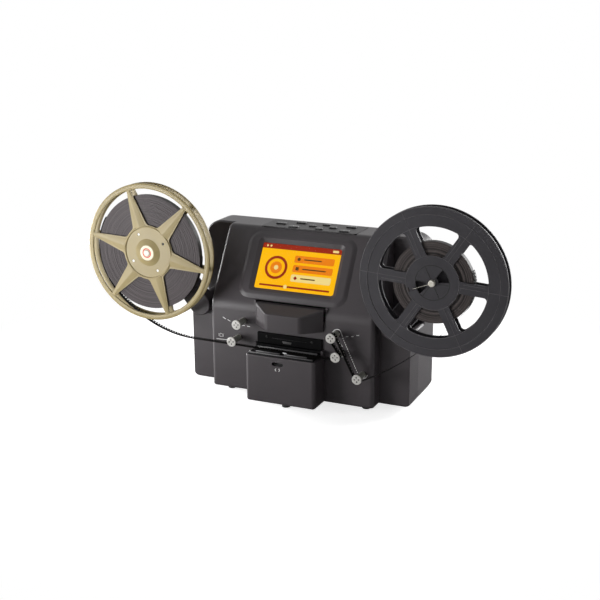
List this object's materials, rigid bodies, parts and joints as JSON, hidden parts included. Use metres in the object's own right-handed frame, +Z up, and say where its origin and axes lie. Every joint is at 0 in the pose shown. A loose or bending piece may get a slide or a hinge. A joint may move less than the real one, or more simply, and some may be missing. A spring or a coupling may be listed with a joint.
{
  "type": "film reel digitizer",
  "caption": "Desktop film reel digitizer with a leaning screen, a lidded film gate under a hood, guide rollers, and folding arms for a supply reel and a take-up reel.",
  "frame": {"origin": "on the table, under the middle of the machine's box", "axes": "+X to the right seen from the front, +Y to the back, +Z up"},
  "size_m": [0.556, 0.144, 0.2723],
  "materials": {
    "casing": "fine moulded texture",
    "gate_black": "satin",
    "key": "satin",
    "light": "diffuse",
    "glass": "polished",
    "display": "lit display",
    "board": "solder mask",
    "roller_sleeve": "satin",
    "roller_head": "satin",
    "steel": "turned",
    "spindle": "satin",
    "gold_reel": "satin gold paint",
    "black_reel": "satin",
    "film": "film base",
    "rubber": "matte"
  },
  "bodies": {
    "housing": {"arm_pins": "steel", "button_board": "board", "camera_board": "board", "card_slot": "steel", "claw_motor": "steel", "control_panel": "casing", "feet": "rubber", "front_shell": "casing", "gate_bed": "gate_black", "gate_block": "casing", "gate_light": "light", "hinge_pins": "steel", "lcd_panel": "display", "lens_barrel": "gate_black", "main_board": "board", "power_inlet": "steel", "rear_shell": "casing", "roller_pins": "roller_head", "screen_bezel": "gate_black", "screen_glass": "glass", "shell_screws": "steel", "supply_film": "film", "takeup_film": "film", "takeup_motor": "steel", "usb_socket": "steel"},
    "left_arm": {"left_arm": "casing", "left_arm_cover": "casing"},
    "right_arm": {"right_arm": "casing", "right_arm_cover": "casing", "drive_belt": "rubber"},
    "supply_reel": {"supply_spindle": "spindle", "supply_front_flange": "gold_reel", "supply_back_flange": "gold_reel", "supply_core": "gold_reel", "supply_film_roll": "film"},
    "takeup_reel": {"takeup_spindle": "spindle", "takeup_front_flange": "black_reel", "takeup_back_flange": "black_reel", "takeup_core": "black_reel", "takeup_film_roll": "film"},
    "drive_pulley": {"drive_pulley": "steel"},
    "hood": {"hood": "casing"},
    "gate_lid": {"gate_lid": "gate_black"},
    "format_switch": {"format_switch": "gate_black"},
    "film_claw": {"film_claw": "gate_black"},
    "power_button": {"power_button": "key"},
    "menu_button": {"menu_button": "key"},
    "play_button": {"play_button": "key"},
    "left_button": {"left_button": "key"},
    "up_button": {"up_button": "key"},
    "down_button": {"down_button": "key"},
    "right_button": {"right_button": "key"},
    "enter_button": {"enter_button": "key"},
    "back_button": {"back_button": "key"},
    "roller_a": {"roller_a": "roller_sleeve"},
    "roller_b": {"roller_b": "roller_sleeve"},
    "roller_c": {"roller_c": "roller_sleeve"},
    "roller_d": {"roller_d": "roller_sleeve"},
    "roller_e": {"roller_e": "roller_sleeve"}
  },
  "joints": [
    {"name": "left_arm_fold", "type": "hinge", "parent": "housing", "child": "left_arm", "pos_m": [-0.132, 0, 0.114], "axis": [0, 1, 0], "range_deg": [0, 39.44], "deforming": ["supply_film"]},
    {"name": "right_arm_fold", "type": "hinge", "parent": "housing", "child": "right_arm", "pos_m": [0.132, 0, 0.114], "axis": [0, -1, 0], "range_deg": [0, 39.44], "deforming": ["takeup_film"]},
    {"name": "supply_spin", "type": "hinge", "parent": "left_arm", "child": "supply_reel", "pos_m": [-0.189, 0, 0.1833], "axis": [0, 1, 0], "continuous": true},
    {"name": "takeup_spin", "type": "hinge", "parent": "right_arm", "child": "takeup_reel", "pos_m": [0.189, 0, 0.1833], "axis": [0, 1, 0], "continuous": true},
    {"name": "drive_spin", "type": "hinge", "parent": "right_arm", "child": "drive_pulley", "pos_m": [0.132, 0, 0.114], "axis": [0, 1, 0], "continuous": true},
    {"name": "hood_lift", "type": "hinge", "parent": "housing", "child": "hood", "pos_m": [0, -0.037, 0.126], "axis": [-1, 0, 0], "range_deg": [0, 55]},
    {"name": "lid_close", "type": "hinge", "parent": "housing", "child": "gate_lid", "pos_m": [0, -0.0435, 0.0745], "axis": [1, 0, 0], "range_deg": [0, 90]},
    {"name": "format_slide", "type": "slide", "parent": "housing", "child": "format_switch", "axis": [-1, 0, 0], "range_m": [0, 0.007]},
    {"name": "claw_slide", "type": "slide", "parent": "housing", "child": "film_claw", "axis": [1, 0, 0], "range_m": [-0.0021, 0.0021]},
    {"name": "roller_a_spin", "type": "hinge", "parent": "housing", "child": "roller_a", "pos_m": [-0.06445, 0, 0.10187], "axis": [0, 1, 0], "continuous": true},
    {"name": "roller_b_spin", "type": "hinge", "parent": "housing", "child": "roller_b", "pos_m": [-0.07192, 0, 0.07869], "axis": [0, 1, 0], "continuous": true},
    {"name": "roller_c_spin", "type": "hinge", "parent": "housing", "child": "roller_c", "pos_m": [0.06322, 0, 0.10028], "axis": [0, 1, 0], "continuous": true},
    {"name": "roller_d_spin", "type": "hinge", "parent": "housing", "child": "roller_d", "pos_m": [0.06935, 0, 0.07674], "axis": [0, 1, 0], "continuous": true},
    {"name": "roller_e_spin", "type": "hinge", "parent": "housing", "child": "roller_e", "pos_m": [0.09767, 0, 0.05246], "axis": [0, 1, 0], "continuous": true},
    {"name": "power_button_press", "type": "slide", "parent": "housing", "child": "power_button", "axis": [0, 0, -1], "range_m": [0, 0.001], "stiffness_N_per_m": 400},
    {"name": "menu_button_press", "type": "slide", "parent": "housing", "child": "menu_button", "axis": [0, 0, -1], "range_m": [0, 0.001], "stiffness_N_per_m": 400},
    {"name": "play_button_press", "type": "slide", "parent": "housing", "child": "play_button", "axis": [0, 0, -1], "range_m": [0, 0.001], "stiffness_N_per_m": 400},
    {"name": "left_button_press", "type": "slide", "parent": "housing", "child": "left_button", "axis": [0, 0, -1], "range_m": [0, 0.001], "stiffness_N_per_m": 400},
    {"name": "up_button_press", "type": "slide", "parent": "housing", "child": "up_button", "axis": [0, 0, -1], "range_m": [0, 0.001], "stiffness_N_per_m": 400},
    {"name": "down_button_press", "type": "slide", "parent": "housing", "child": "down_button", "axis": [0, 0, -1], "range_m": [0, 0.001], "stiffness_N_per_m": 400},
    {"name": "right_button_press", "type": "slide", "parent": "housing", "child": "right_button", "axis": [0, 0, -1], "range_m": [0, 0.001], "stiffness_N_per_m": 400},
    {"name": "enter_button_press", "type": "slide", "parent": "housing", "child": "enter_button", "axis": [0, 0, -1], "range_m": [0, 0.001], "stiffness_N_per_m": 400},
    {"name": "back_button_press", "type": "slide", "parent": "housing", "child": "back_button", "axis": [0, 0, -1], "range_m": [0, 0.001], "stiffness_N_per_m": 400}
  ],
  "couplings": [
    {"joint": "drive_spin", "follows": "takeup_spin", "ratio": 1.6667}
  ]
}
